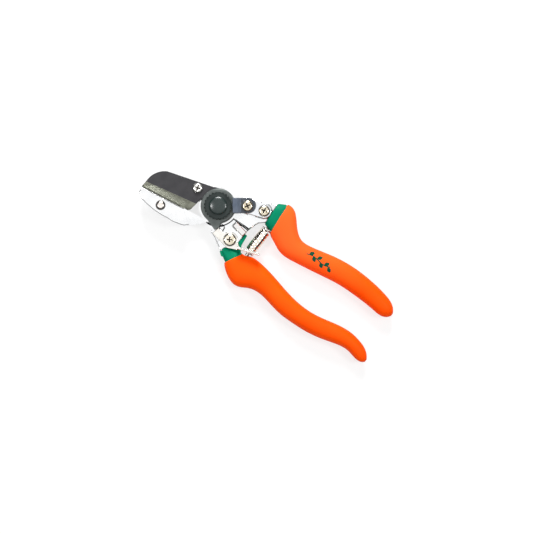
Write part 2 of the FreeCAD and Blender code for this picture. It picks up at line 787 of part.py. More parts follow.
def lock_plate():
    """Toothed keeper plate; its own X runs from the pivot axis outward."""
    body = new_body("lock_plate")
    sketch = new_sketch(body, "side_profile", role="XZ_Plane")
    corners = [
        ("plate_near", "plate_tip_back"), ("plate_step_in", "plate_tip_back"),
        ("plate_step_out", "bar_front"), ("plate_far", "bar_front"), ("plate_far", "plate_front"),
        ("plate_step_out", "plate_front"), ("plate_step_in", "plate_tip_front"),
        ("plate_near", "plate_tip_front")]
    draw_formula(sketch, corners)
    strip = body.newObject("PartDesign::Pad", "strip")
    strip.Profile = sketch
    strip.Midplane = True
    strip.setExpression("Length", "Dims.plate_half_width * 2")
    doc.recompute()
    far = size("plate_far")
    corners = [number for number, edge in enumerate(strip.Shape.Edges, start=1)
               if edge.BoundBox.ZLength > 1.0 and abs(edge.BoundBox.XMin - far) < 0.01
               and edge.BoundBox.YLength < 0.01]
    dress(body, strip, "PartDesign::Fillet", "end_round", corners, "plate_corner")
    free_hole(body, "nut_clearance", "plate_gap * 0", "plate_gap * 0", "nut_radius + plate_gap")
    local_block(body, "keeper_tooth", [
        ("nut_radius - nut_tooth_depth + plate_gap * 1.6", 0.0),
        ("plate_near + plate_gap * 2", "0 - nut_tooth_half_width * 0.8"),
        ("plate_near + plate_gap * 2", "nut_tooth_half_width * 0.8")], "plate_tip_back", "plate_tip_front")
    free_hole(body, "screw_hole", "plate_pin_along", "plate_pin_across", "screw_hole_radius")
    body.setExpression("Placement.Rotation.Angle", "Dims.plate_turn")
    doc.recompute()
    return body


def stop_block():
    body = new_body("stop_block")
    pad = local_block(body, "block", [
        ("0 - stop_length / 2", "0 - stop_width / 2"), ("stop_length / 2", "0 - stop_width / 2"),
        ("stop_length / 2", "stop_width / 2"), ("0 - stop_length / 2", "stop_width / 2")],
        "frame_front", "stop_front")
    front = rim_edges(pad.Shape, "stop_front", everywhere)
    dress(body, pad, "PartDesign::Chamfer", "edge_break", front, "edge_break")
    for axis in ("x", "y"):
        body.setExpression("Placement.Base." + axis, "Dims.stop_middle_" + axis)
    body.setExpression("Placement.Rotation.Angle", "Dims.stop_turn")
    doc.recompute()
    return body


def catch_lever():
    body = new_body("catch_lever")
    block(body, "strip", ["catch_end_low", "catch_under", "catch_arm_low", "catch_arm_top",
                          "catch_shoulder", "catch_inner", "catch_end_top"], "catch_back", "catch_front")
    round_block(body, "boss", "catch_boss_radius", "catch_back", "catch_front", "catch_pin")
    block(body, "tooth", ["tooth_low", "tooth_far", "tooth_back_top", "tooth_top", "tooth_near"],
          "tooth_back", "catch_back")
    cut_round(body, "pin_hole", "catch_bore_radius", "catch_back", "clear_top", "catch_pin")
    tab = doc.addObject("Part::Box", "catch_tab")
    tab.setExpression("Length", "Dims.tab_length")
    tab.setExpression("Width", "Dims.tab_thickness")
    tab.setExpression("Height", "Dims.tab_front - Dims.catch_back")
    tab.setExpression("Placement.Base.x", "Dims.tab_start_x")
    tab.setExpression("Placement.Base.y", "Dims.tab_start_y")
    tab.setExpression("Placement.Base.z", "Dims.catch_back")
    tab.setExpression("Placement.Rotation.Angle", "Dims.tab_turn")
    relief = doc.addObject("Part::Box", "catch_tab_relief")
    relief.setExpression("Length", "Dims.tab_length")
    relief.setExpression("Width", "Dims.tab_thickness * 3")
    relief.setExpression("Height", "Dims.tab_back - Dims.catch_back")
    relief.setExpression("Placement.Base.x", "Dims.tab_start_x + Dims.tab_rise")
    relief.setExpression("Placement.Base.y", "Dims.tab_start_y - Dims.tab_thickness")
    relief.setExpression("Placement.Base.z", "Dims.catch_back")
    relief.setExpression("Placement.Rotation.Angle", "Dims.tab_turn")
    doc.recompute()
    trimmed = doc.addObject("Part::Cut", "catch_tab_trimmed")
    trimmed.Base = tab
    trimmed.Tool = relief
    whole = doc.addObject("Part::MultiFuse", "catch_lever_whole")
    whole.Shapes = [body, trimmed]
    doc.recompute()
    return whole


def oval(label, group, index):
    """One oval section of a grip, standing across the grip's length."""
    stem = "Dims.%s_%s_" % (group, chr(ord("a") + index))
    wide = size(stem[5:] + "wide")
    high = size(stem[5:] + "high")
    ellipse = doc.addObject("Part::Ellipse", label)
    flat = wide >= high
    ellipse.setExpression("MajorRadius", stem + ("wide" if flat else "high"))
    ellipse.setExpression("MinorRadius", stem + ("high" if flat else "wide"))
    across = FreeCAD.Vector(0, 1, 0)
    first = across if flat else UP
    normal = FreeCAD.Vector(1, 0, 0)
    second = normal.cross(first)
    frame = FreeCAD.Matrix(first.x, second.x, normal.x, 0, first.y, second.y, normal.y, 0,
                           first.z, second.z, normal.z, 0, 0, 0, 0, 1)
    turn = FreeCAD.Rotation(UP, size(stem[5:] + "turn"))
    ellipse.Placement.Rotation = turn.multiply(FreeCAD.Placement(frame).Rotation)
    ellipse.setExpression("Placement.Base.x", stem + "x")
    ellipse.setExpression("Placement.Base.y", stem + "y")
    ellipse.setExpression("Placement.Base.z", "Dims.grip_middle")
    return ellipse


def oval_loft(label, group, count):
    sections = [oval("%s_%d" % (label, index), group, index) for index in range(count)]
    loft = doc.addObject("Part::Loft", label)
    loft.Sections = sections
    loft.Solid = True
    loft.Ruled = False
    doc.recompute()
    return loft


def fuse(label, items):
    whole = doc.addObject("Part::MultiFuse", label)
    whole.Shapes = items
    doc.recompute()
    return whole


def take_away(label, base, tool):
    rest = doc.addObject("Part::Cut", label)
    rest.Base = base
    rest.Tool = tool
    doc.recompute()
    return rest


def lower_flange():
    body = new_body("lower_flange")
    block(body, "sleeve", ["flange_g", "flange_f", "flange_e", "flange_d", "flange_c", "flange_b",
                            "flange_a", "flange_i", "flange_h"],
          "flange_back", "flange_front")
    return body


def spring_seat(label, centre, turn):
    """Disc with a short root in the grip and a peg inside the coil; the peg points along its own Z."""
    body = new_body(label)
    turned(body, "turned", [
        (0.0, "0 - seat_thickness * 3"), ("seat_peg_radius", "0 - seat_thickness * 3"),
        ("seat_peg_radius", "0 - seat_thickness"), ("seat_radius", "0 - seat_thickness"),
        ("seat_radius", 0.0), ("seat_peg_radius", 0.0), ("seat_peg_radius", "seat_peg_length"),
        (0.0, "seat_peg_length")])
    for axis in ("x", "y"):
        body.setExpression("Placement.Base." + axis, "Dims.%s_%s" % (centre, axis))
    body.setExpression("Placement.Base.z", "Dims.grip_middle")
    body.Placement.Rotation = FreeCAD.Rotation(FreeCAD.Vector(1, 0, 0), turn)
    doc.recompute()
    return body


def upper_spring_seat():
    return spring_seat("upper_spring_seat", "spring_head", 90.0)


def lower_spring_seat():
    return spring_seat("lower_spring_seat", "spring_foot", -90.0)


def coil_spring():
    """Flat strip wound as a coil between the two seats."""
    foot = point("spring_foot")
    radius = size("spring_radius")
    half = size("spring_strip") / 2.0
    width = size("spring_width")
    helix = Part.makeHelix(size("spring_pitch"), size("spring_lead"), radius)
    corners = [FreeCAD.Vector(radius - half, 0, 0), FreeCAD.Vector(radius + half, 0, 0),
               FreeCAD.Vector(radius + half, 0, width), FreeCAD.Vector(radius - half, 0, width)]
    profile = Part.makePolygon(corners + corners[:1])
    coil = doc.addObject("Part::Feature", "coil_spring")
    coil.Shape = Part.Wire(helix.Edges).makePipeShell([profile], True, True)
    coil.Placement.Base = FreeCAD.Vector(foot.x, foot.y + size("plate_gap") / 2.0, size("grip_middle"))
    coil.Placement.Rotation = FreeCAD.Rotation(FreeCAD.Vector(1, 0, 0), -90.0)
    return coil


def grips(frames):
    upper_loft = oval_loft("upper_grip_loft", "upper_grip", len(UPPER_GRIP))
    upper_collar = oval_loft("upper_collar_loft", "upper_collar", len(UPPER_COLLAR))
    lower_loft = oval_loft("lower_grip_loft", "lower_grip", len(LOWER_GRIP))
    lower_collar = oval_loft("lower_collar_loft", "lower_collar", len(LOWER_COLLAR))
    lower_liner = fuse("lower_liner_solid", [lower_collar, lower_flange()])
    upper_core = fuse("upper_core", [frames["anvil_frame"], frames["upper_spring_seat"]])
    lower_core = fuse("lower_core", [frames["blade_frame"], frames["lower_spring_seat"]])
    result = {}
    result["upper_grip_liner"] = take_away("upper_liner_cut", upper_collar, upper_core)
    result["lower_grip_liner"] = take_away("lower_liner_cut", lower_liner, lower_core)
    upper_hollow = take_away("upper_grip_hollow", upper_loft, upper_collar)
    result["upper_grip"] = take_away("upper_grip_cut", upper_hollow, upper_core)
    lower_hollow = take_away("lower_grip_hollow", lower_loft, lower_liner)
    result["lower_grip"] = take_away("lower_grip_cut", lower_hollow, lower_core)
    return result


def cell_value(given):
    """Number meant by a number or by a formula of sheet names."""
    if not isinstance(given, str):
        return float(given)
    total = 0.0
    for word in given.replace(" - ", " + -").split(" + "):
        word = word.strip()
        sign = -1.0 if word.startswith("-") else 1.0
        word = word.lstrip("-")
        factors = word.split(" * ")
        amount = 1.0
        for factor in factors:
            pieces = factor.split(" / ")
            head = pieces[0]
            value = float(head) if head.replace(".", "").isdigit() else size(head)
            for piece in pieces[1:]:
                value = value / float(piece)
            amount = amount * value
        total = total + sign * amount
    return total


def bind(formula):
    """The same formula with every sheet name given its sheet."""
    words = []
    for word in formula.split(" "):
        plain = word.replace("_", "").isalpha()
        words.append("Dims." + word if plain else word)
    return " ".join(words)


def finish(objects):
    doc.recompute()
    os.makedirs("parts", exist_ok=True)
    for label, item in objects.items():
        item.Label = label
        for name in item.State:
            if name in ("Invalid", "Error"):
                raise RuntimeError("%s is %s" % (label, name))
        if item.Shape.isNull() or not item.Shape.isValid():
            raise RuntimeError("%s has no valid shape" % label)
        item.Shape.exportStep("parts/%s.step" % label)


fill_sheet()
made = {}
for maker in (anvil_frame, anvil_insert, anvil_rivet, pivot_bolt, pivot_bushing, wave_washer,
              pivot_nut, nut_cap, lock_plate, lock_plate_screw, lock_bar, lock_bar_screw,
              blade_frame, blade, blade_screw, pivot_disc, stop_block, catch_washer, catch_screw,
              catch_lever, upper_spring_seat, lower_spring_seat, coil_spring):
    made[maker.__name__] = maker()
made.update(grips(made))
finish(made)
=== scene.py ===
import json
import math

import bmesh
import bpy
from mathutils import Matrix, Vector
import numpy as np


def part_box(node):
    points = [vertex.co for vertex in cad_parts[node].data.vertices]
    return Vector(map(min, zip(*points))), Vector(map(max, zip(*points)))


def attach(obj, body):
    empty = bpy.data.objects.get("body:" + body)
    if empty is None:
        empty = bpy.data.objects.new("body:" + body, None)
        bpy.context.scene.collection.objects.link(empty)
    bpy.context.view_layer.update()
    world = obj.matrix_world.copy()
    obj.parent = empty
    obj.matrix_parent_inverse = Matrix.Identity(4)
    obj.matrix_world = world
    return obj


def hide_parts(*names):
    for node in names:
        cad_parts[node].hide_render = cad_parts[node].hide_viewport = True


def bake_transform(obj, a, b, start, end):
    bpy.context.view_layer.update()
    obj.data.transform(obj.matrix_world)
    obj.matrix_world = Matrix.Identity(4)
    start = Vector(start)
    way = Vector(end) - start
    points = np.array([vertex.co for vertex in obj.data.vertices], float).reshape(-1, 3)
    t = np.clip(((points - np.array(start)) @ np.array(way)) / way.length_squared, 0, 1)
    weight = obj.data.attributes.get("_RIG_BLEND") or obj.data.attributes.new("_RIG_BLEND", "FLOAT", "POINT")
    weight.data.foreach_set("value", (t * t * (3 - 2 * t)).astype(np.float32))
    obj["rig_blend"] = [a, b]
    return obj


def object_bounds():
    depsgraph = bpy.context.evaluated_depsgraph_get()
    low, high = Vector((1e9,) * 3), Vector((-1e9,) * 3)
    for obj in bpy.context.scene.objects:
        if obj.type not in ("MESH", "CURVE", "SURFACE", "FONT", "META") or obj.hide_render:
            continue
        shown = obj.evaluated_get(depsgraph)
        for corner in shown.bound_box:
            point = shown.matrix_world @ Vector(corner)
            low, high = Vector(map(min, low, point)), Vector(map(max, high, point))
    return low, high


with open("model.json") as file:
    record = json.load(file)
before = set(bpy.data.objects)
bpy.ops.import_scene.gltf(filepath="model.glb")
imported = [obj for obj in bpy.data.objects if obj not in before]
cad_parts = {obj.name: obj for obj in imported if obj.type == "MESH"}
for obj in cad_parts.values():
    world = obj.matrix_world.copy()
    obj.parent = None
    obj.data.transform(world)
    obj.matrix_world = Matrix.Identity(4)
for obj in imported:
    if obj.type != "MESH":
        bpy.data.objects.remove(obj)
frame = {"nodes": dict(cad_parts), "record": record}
cad_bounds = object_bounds()
scene = bpy.context.scene
NODE_BODY = {}
for body_name, members in frame["record"]["behaviour"]["bodies"].items():
    for member in members:
        NODE_BODY[member] = body_name
SLOT = {row["node"]: row["material_slot"] for row in frame["record"]["subparts"]}
MM = 0.001                          # metres in a millimetre

# Sizes that the CAD part has too, in metres, with the pivot at X = Y = 0.
HUB_RADIUS = 0.0140                 # hub of each half
LAP_RADIUS = 0.0148                 # recess in each half that takes the other one's hub
LAP_HEIGHT = 0.0054                 # where the two halves lie on each other
JAW_STEP = 0.0248                   # radius where the thick jaw drops to the hub
LAP_EDGE = 0.0175                   # inside this radius the hub, its lap and the notch are cut sharp
ARM_SEAM = (0.0160, 0.0283)         # from X to X the arm's edge, at Y = 0, lies over the rear half
BEVEL_FAR = (-0.0540, -0.01865)     # ends of the line on the blade where the grinding starts
BEVEL_NEAR = (-0.0120, -0.00823)


# ---------------------------------------------------------------- materials

# Noise scales: the larger, the finer.
DENTS = 60.0
CLOUD = 90.0
SCUFFS = 240.0
SCRATCHES = 700.0

NOISE_SPAN = (0.3, 0.7)             # most of what a noise texture gives lies in here
# Painted shade: corners that ambient occlusion finds within this reach are darkened.
CORNER_SHADE_REACH = 0.0012
CORNER_SHADE_SPAN = (0.55, 0.86)         # openness of a corner that gets all the painted shade, and of one that gets none
WORN_EDGE = (0.54, 0.62)            # pointiness at which an edge starts to show wear, and is bare
# colour and roughness of the painted shade in the corners of chrome parts
CORNER_SHADE = (0.030, 0.026, 0.020)
CORNER_SHADE_ROUGHNESS = 0.5
# painted shade on the frames: in the lap round the pivot, along the arm's seam and in corners
FRAME_SHADE = (0.012, 0.014, 0.013)
FRAME_SHADE_ROUGHNESS = 0.55
FRAME_SHADE_SPREAD = 0.0003              # past the walls of the lap
FRAME_SHADE_BELOW = 0.0006               # under the height of the lap
FRAME_SHADE_ABOVE = 0.0002               # and over it
SEAM_SHADE_WIDTH = (-0.0011, 0.0003)      # band of painted shade along the arm's edge, in Y
STEP_BAND = (0.0023, 0.0027)        # kept free of painted shade this far inside and outside the jaw step
SHEEN_REACH = 0.120                  # X beyond which the upper grip is not painted paler with sheen


def set_stops(node, stops):
    """Positions and colours of a colour ramp."""
    elements = node.color_ramp.elements
    while len(elements) < len(stops):
        elements.new(0.5)
    for element, (position, colour) in zip(elements, stops):
        element.position = position
        element.color = colour + (1.0,)


class Surface:
    """A principled material with object-space noise for colour, roughness and relief."""

    def __init__(self, name, metallic, **sockets):
        self.material = bpy.data.materials.new(name)
        self.material.use_nodes = True
        self.tree = self.material.node_tree
        self.shader = self.tree.nodes["Principled BSDF"]
        self.shader.inputs["Metallic"].default_value = metallic
        for socket, value in sockets.items():
            self.shader.inputs[socket.replace("_", " ")].default_value = value
        self.place = self.tree.nodes.new("ShaderNodeTexCoord")
        self.height = None

    def link(self, source, target):
        self.tree.links.new(source, target)

    def axes(self):
        """X, Y and Z of the point in the CAD frame."""
        split = self.tree.nodes.new("ShaderNodeSeparateXYZ")
        self.link(self.place.outputs["Object"], split.inputs[0])
        return split.outputs

    def noise(self, scale, detail=3.0, stretch=(1, 1, 1), turn=0.0):
        mapping = self.tree.nodes.new("ShaderNodeMapping")
        mapping.inputs["Scale"].default_value = stretch
        mapping.inputs["Rotation"].default_value = (0, 0, turn)
        self.link(self.place.outputs["Object"], mapping.inputs["Vector"])
        texture = self.tree.nodes.new("ShaderNodeTexNoise")
        texture.inputs["Scale"].default_value = scale
        texture.inputs["Detail"].default_value = detail
        self.link(mapping.outputs["Vector"], texture.inputs["Vector"])
        return texture.outputs["Fac"]

    def ramp(self, source, stops):
        node = self.tree.nodes.new("ShaderNodeValToRGB")
        set_stops(node, stops)
        self.link(source, node.inputs["Fac"])
        return node.outputs["Color"]

    def remap(self, source, span, low, high):
        """Stretch the part of a value that lies in span to low and high, and clamp the rest."""
        node = self.tree.nodes.new("ShaderNodeMapRange")
        node.inputs["From Min"].default_value = span[0]
        node.inputs["From Max"].default_value = span[1]
        node.inputs["To Min"].default_value = low
        node.inputs["To Max"].default_value = high
        self.link(source, node.inputs["Value"])
        return node.outputs["Result"]

    def spread(self, source, low, high):
        """Noise stretched to run from low to high."""
        return self.remap(source, NOISE_SPAN, low, high)

    def mix(self, factor, first, second):
        """Colour between two; each is a socket or a plain colour."""
        node = self.tree.nodes.new("ShaderNodeMix")
        node.data_type = "RGBA"
        self.link(factor, node.inputs[0])
        for socket, value in ((node.inputs[6], first), (node.inputs[7], second)):
            if isinstance(value, tuple):
                socket.default_value = value + (1.0,)
            else:
                self.link(value, socket)
        return node.outputs[2]

    def math(self, operation, first, second=None):
        node = self.tree.nodes.new("ShaderNodeMath")
        node.operation = operation
        for socket, value in zip(node.inputs, (first, second)):
            if isinstance(value, float):
                socket.default_value = value
            elif value is not None:
                self.link(value, socket)
        return node.outputs[0]

    def within(self, value, low, high):
        """1 where a value lies between two limits, 0 elsewhere."""
        above = self.math("GREATER_THAN", value, low)
        below = self.math("LESS_THAN", value, high)
        return self.math("MULTIPLY", above, below)

    def shade_in_corners(self):
        """1 in corners where parts meet, where shade is painted; 0 on open surfaces."""
        node = self.tree.nodes.new("ShaderNodeAmbientOcclusion")
        node.samples = 12
        node.inputs["Distance"].default_value = CORNER_SHADE_REACH
        return self.remap(node.outputs["AO"], CORNER_SHADE_SPAN, 1.0, 0.0)

    def worn(self):
        """1 on proud edges, 0 on faces."""
        geometry = self.tree.nodes.new("ShaderNodeNewGeometry")
        return self.remap(geometry.outputs["Pointiness"], WORN_EDGE, 0.0, 1.0)

    def colour(self, source):
        self.link(source, self.shader.inputs["Base Color"])

    def roughness(self, source):
        self.link(source, self.shader.inputs["Roughness"])

    def with_painted_shade(self, mask, clean, shade_colour, rough, shade_rough):
        """Colour and roughness of a clean surface, with painted shade where the mask is 1."""
        self.colour(self.mix(mask, clean, shade_colour))
        self.roughness(self.math("MAXIMUM", rough, self.math("MULTIPLY", mask, shade_rough)))

    def relief(self, source, distance):
        bump = self.tree.nodes.new("ShaderNodeBump")
        bump.inputs["Strength"].default_value = 1.0
        bump.inputs["Distance"].default_value = distance
        self.link(source, bump.inputs["Height"])
        if self.height:
            self.link(self.height, bump.inputs["Normal"])
        self.height = bump.outputs["Normal"]
        self.link(self.height, self.shader.inputs["Normal"])

    def scratched(self, depth):
        """Fine scratches that run one way, over wide shallow dents."""
        self.relief(self.noise(SCRATCHES, 2.0, stretch=(1.0, 9.0, 1.0), turn=0.3), depth)
        self.relief(self.noise(DENTS, 2.0), depth * 8)


def chrome(name, bright, dull, low, high, scratch=4e-6):
    """Plated metal, a little cloudy, with painted shade in its corners; low and high are its roughness."""
    made = Surface(name, 1.0)
    plate = made.ramp(made.noise(CLOUD, 4.0), [(0.35, dull), (0.65, bright)])
    rough = made.spread(made.noise(SCUFFS, 5.0), low, high)
    # corners are darkened as painted shade
    made.with_painted_shade(made.shade_in_corners(), plate, CORNER_SHADE, rough, CORNER_SHADE_ROUGHNESS)
    made.scratched(scratch)
    return made.material


def frame_plate(name):
    """Bright plate with painted shade in the lap round the pivot, along the seam where the halves meet and
    in its corners.
    """
    made = Surface(name, 1.0)
    plate = made.ramp(made.noise(CLOUD, 4.0), [(0.35, (0.84, 0.85, 0.86)), (0.65, (0.93, 0.935, 0.94))])
    rough = made.spread(made.noise(SCUFFS, 5.0), 0.07, 0.16)
    x, y, z = made.axes()
    reach = made.math("SQRT", made.math("ADD", made.math("MULTIPLY", x, x), made.math("MULTIPLY", y, y)))
    in_ring = made.within(reach, HUB_RADIUS - FRAME_SHADE_SPREAD, LAP_RADIUS + FRAME_SHADE_SPREAD)
    at_lap = made.within(z, LAP_HEIGHT - FRAME_SHADE_BELOW, LAP_HEIGHT + FRAME_SHADE_ABOVE)
    in_lap = made.math("MULTIPLY", in_ring, at_lap)
    in_seam = made.math("MULTIPLY", made.within(y, *SEAM_SHADE_WIDTH), made.within(x, *ARM_SEAM))
    on_step = made.within(reach, JAW_STEP - STEP_BAND[0], JAW_STEP + STEP_BAND[1])
    corners = made.math("MULTIPLY", made.shade_in_corners(), made.math("SUBTRACT", 1.0, on_step))
    # painted shade in the lap, along the seam and in corners away from the jaw step
    painted_shade = made.math("MAXIMUM", made.math("MAXIMUM", in_lap, in_seam), corners)
    made.with_painted_shade(painted_shade, plate, FRAME_SHADE, rough, FRAME_SHADE_ROUGHNESS)
    made.scratched(4e-6)
    return made.material


def blackened(name, dark, light, worn, low, high, grain=900.0, depth=1e-5, metallic=0.55, gloss=0.5):
    """Oxide or paint on steel, lighter where its edges are worn."""
    made = Surface(name, metallic, Specular_IOR_Level=gloss)
    cloud = made.ramp(made.noise(150.0, 5.0), [(0.3, dark), (0.7, light)])
    made.colour(made.mix(made.worn(), cloud, worn))
    made.roughness(made.spread(made.noise(320.0, 4.0), low, high))
    made.relief(made.noise(grain, 3.0), depth)
    return made.material


def vinyl(name, deep, light, low, high, gloss, sheen_tone=None):
    """Soft dipped plastic; with a sheen tone it is painted paler towards the front of the handle, a painted
    sheen.
    """
    made = Surface(name, 0.0, Specular_IOR_Level=gloss)
    skin = made.ramp(made.noise(35.0, 3.0), [(0.3, deep), (0.7, light)])
    if sheen_tone:
        along = made.math("DIVIDE", made.axes()["X"], SHEEN_REACH)
        front = made.ramp(along, [(0.45, (1.0, 1.0, 1.0)), (1.0, (0.0, 0.0, 0.0))])
        skin = made.mix(front, skin, sheen_tone)
    made.colour(skin)
    made.roughness(made.spread(made.noise(500.0, 4.0), low, high))
    made.relief(made.noise(1600.0, 2.0), 9e-6)
    made.relief(made.noise(45.0, 2.0), 1.2e-4)
    return made.material


def ground_steel(name):
    """Bare steel with grinding lines across the cutting edge."""
    made = Surface(name, 0.75)
    lines = made.noise(900.0, 3.0, stretch=(1.0, 0.06, 0.06), turn=math.radians(-10.6))
    made.colour(made.ramp(lines, [(0.3, (0.142, 0.146, 0.115)), (0.7, (0.186, 0.190, 0.152))]))
    made.roughness(made.spread(lines, 0.36, 0.52))
    made.relief(lines, 6e-6)
    return made.material


ORANGE = {
    "deep": (0.94, 0.067, 0.0),
    "light": (1.0, 0.085, 0.0006),
    "low": 0.44,
    "high": 0.56,
    "gloss": 0.06,
}
MATERIALS = {
    "frame_steel": frame_plate("bright_plate"),
    "insert_alloy": chrome("soft_alloy", (0.78, 0.78, 0.79), (0.66, 0.66, 0.67), 0.28, 0.4, 8e-6),
    "rivet_chrome": chrome("rivet_plate", (0.88, 0.83, 0.78), (0.66, 0.60, 0.54), 0.18, 0.30),
    "bolt_black": blackened("bolt_oxide", (0.02, 0.024, 0.024), (0.035, 0.04, 0.04), (0.2, 0.2, 0.2),
                            0.3, 0.45),
    "bushing_brass": chrome("oiled_brass", (0.75, 0.57, 0.30), (0.6, 0.44, 0.2), 0.2, 0.35),
    "washer_steel": chrome("spring_plate", (0.66, 0.66, 0.66), (0.5, 0.5, 0.5), 0.25, 0.4, 6e-6),
    "nut_black": blackened("nut_oxide", (0.008, 0.013, 0.012), (0.016, 0.024, 0.022), (0.12, 0.14, 0.14),
                           0.3, 0.45),
    "cap_black": blackened("cap_gloss", (0.006, 0.014, 0.013), (0.012, 0.024, 0.022), (0.03, 0.045, 0.04),
                           0.20, 0.30, grain=500.0, depth=3e-6, metallic=0.0, gloss=0.6),
    "plate_black": blackened("plate_oxide", (0.04, 0.047, 0.058), (0.06, 0.070, 0.085), (0.22, 0.23, 0.25),
                             0.34, 0.5),
    "screw_nickel": chrome("warm_nickel", (0.95, 0.89, 0.76), (0.66, 0.57, 0.40), 0.10, 0.24, 1.2e-5),
    "bar_chrome": chrome("bar_plate", (0.92, 0.93, 0.95), (0.80, 0.82, 0.85), 0.08, 0.2),
    "liner_green": vinyl("green_liner", (0.0, 0.155, 0.078), (0.0, 0.19, 0.098), 0.4, 0.55, 0.05),
    "grip_orange": vinyl("orange_vinyl", **ORANGE),
    "seat_steel": chrome("seat_plate", (0.62, 0.60, 0.56), (0.45, 0.43, 0.40), 0.25, 0.4),
    "spring_steel": chrome("spring_strip", (0.92, 0.87, 0.78), (0.78, 0.72, 0.60), 0.1, 0.22),
    "blade_coated": blackened("blade_coat", (0.024, 0.0235, 0.026), (0.035, 0.034, 0.037),
                              (0.15, 0.15, 0.15), 0.45, 0.6, grain=1500.0, depth=8e-6, metallic=0.0,
                              gloss=0.25),
    "disc_black": blackened("disc_oxide", (0.080, 0.092, 0.088), (0.120, 0.135, 0.130), (0.26, 0.28, 0.28),
                            0.36, 0.5),
    "stop_chrome": chrome("stop_plate", (0.92, 0.90, 0.89), (0.78, 0.76, 0.75), 0.1, 0.2),
    "catch_chrome": chrome("catch_plate", (0.95, 0.925, 0.88), (0.80, 0.77, 0.71), 0.12, 0.24),
}
# the joggled tip of the lock plate is coloured bluer than the rest of it
PLATE_TIP = blackened("plate_tip_blue", (0.075, 0.095, 0.13), (0.11, 0.13, 0.17), (0.25, 0.27, 0.3),
                      0.34, 0.5)
# painted shade: the dark colour given to the screws' cross recesses
RECESS_SHADE = blackened("recess_shade", (0.020, 0.013, 0.008), (0.055, 0.040, 0.025), (0.12, 0.10, 0.07),
                   0.5, 0.7, metallic=0.2, gloss=0.2)
# painted sheen: this orange turns paler towards the front of the grip
SHEEN_ORANGE = vinyl("sheen_vinyl", sheen_tone=(1.0, 0.104, 0.0150), **ORANGE)
# painted light: a brighter copy of the screw nickel, for the blade screw
LIT_SCREW_NICKEL = chrome("lit_nickel", (0.96, 0.95, 0.92), (0.88, 0.86, 0.81), 0.16, 0.30)
PRINT = vinyl("green_print", (0.0, 0.042, 0.018), (0.0, 0.060, 0.028), 0.4, 0.55, 0.1)
EDGE_STEEL = ground_steel("ground_bevel")


# ---------------------------------------------------------------- making and placing pieces

def new_object(name, mesh):
    """Object at the frame's origin, as a piece's place is in its mesh."""
    piece = bpy.data.objects.new(name, mesh)
    scene.collection.objects.link(piece)
    return piece


def place(piece, node, rides=True):
    """Stand a finished piece for a CAD node."""
    piece.data.materials.clear()
    piece.data.materials.append(MATERIALS[SLOT[node]])
    if rides:
        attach(piece, NODE_BODY[node])
    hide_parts(node)
    return piece


def paint(piece, material, chosen):
    """Give the faces that chosen() accepts a second material."""
    piece.data.materials.append(material)
    for face in piece.data.polygons:
        if chosen(face):
            face.material_index = 1


def smooth(mesh, angle):
    """Smooth shading, broken at edges steeper than the angle in degrees."""
    mesh.polygons.foreach_set("use_smooth", [True] * len(mesh.polygons))
    mesh.set_sharp_from_angle(angle=math.radians(angle))
    mesh.update()


def apply_modifiers(piece):
    """Replace the mesh by what its modifiers make of it."""
    bpy.context.view_layer.update()
    graph = bpy.context.evaluated_depsgraph_get()
    mesh = bpy.data.meshes.new_from_object(piece.evaluated_get(graph))
    piece.modifiers.clear()
    piece.data = mesh


def heading(turn):
    """Level direction that is turned about Z from +X."""
    return Vector((math.cos(turn), math.sin(turn), 0))


def sideways(turn):
    """Level direction square to the heading."""
    return Vector((-math.sin(turn), math.cos(turn), 0))


def plan_axis(low, high):
    """Upright axis through the middle of a box."""
    return Vector(((low.x + high.x) / 2, (low.y + high.y) / 2, 0))


# ---------------------------------------------------------------- metal parts

WELD = 2e-6                         # points closer than this are one
FLAT_ANGLE = math.radians(1.0)      # facets closer than this are one flat face
SHARP_ANGLE = math.radians(30.0)    # edges steeper than this are rolled
LEVEL = 0.8                         # a face whose normal has more Z than this lies flat
STEEP = 0.6                         # and one with less stands up


def softened(node, rim, fine, rolled=None):
    """A CAD node's shape with its edges rolled over.

    The rims of flat faces are rolled by the first width, times the share that rolled() gives for
    their middle, and all other edges by the second. An edge with no roll stays sharp.
    """
    mesh = frame["nodes"][node].data.copy()
    mesh.name = node + "_skin"
    work = bmesh.new()
    work.from_mesh(mesh)
    bmesh.ops.remove_doubles(work, verts=work.verts, dist=WELD)
    bmesh.ops.dissolve_limit(work, angle_limit=FLAT_ANGLE, verts=work.verts, edges=work.edges,
                             use_dissolve_boundaries=False, delimit=set())
    weight = work.edges.layers.float.new("bevel_weight_edge")
    for edge in work.edges:
        if len(edge.link_faces) != 2 or edge.calc_face_angle() < SHARP_ANGLE:
            continue
        less, more = sorted(abs(face.normal.z) for face in edge.link_faces)
        is_rim = more > LEVEL and less < STEEP and edge.calc_face_angle_signed() > 0
        edge[weight] = fine / rim
        if is_rim:
            middle = (edge.verts[0].co + edge.verts[1].co) / 2
            share = rolled(middle) if rolled else 1.0
            edge[weight] = max(share, fine / rim)
        edge.smooth = edge[weight] > 0
    work.to_mesh(mesh)
    work.free()
    mesh.materials.clear()
    for attribute in [a.name for a in mesh.attributes if a.name.startswith("custom_normal")]:
        mesh.attributes.remove(mesh.attributes[attribute])
    mesh.polygons.foreach_set("use_smooth", [True] * len(mesh.polygons))
    piece = new_object(node + "_skin", mesh)
    bevel = piece.modifiers.new("roll", "BEVEL")
    bevel.width = rim
    bevel.segments = 4
    bevel.limit_method = "WEIGHT"
    bevel.use_clamp_overlap = False
    even = piece.modifiers.new("even", "WEIGHTED_NORMAL")
    even.weight = 100
    even.thresh = 0.0
    even.keep_sharp = True
    apply_modifiers(piece)
    return place(piece, node)


def front_rims(spot):
    """Share of roll on the upper frame: all of it along jaw and arm, none round the hub and notch."""
    away = math.hypot(spot.x, spot.y)
    is_jaw = spot.x < 0 and away > JAW_STEP + STEP_MARGIN
    is_arm = spot.x > 0 and away > LAP_EDGE
    return float(is_jaw or is_arm)


def rear_rims(spot):
    """Share of roll on the lower frame: none round the hub."""
    return float(math.hypot(spot.x, spot.y) > LAP_EDGE)


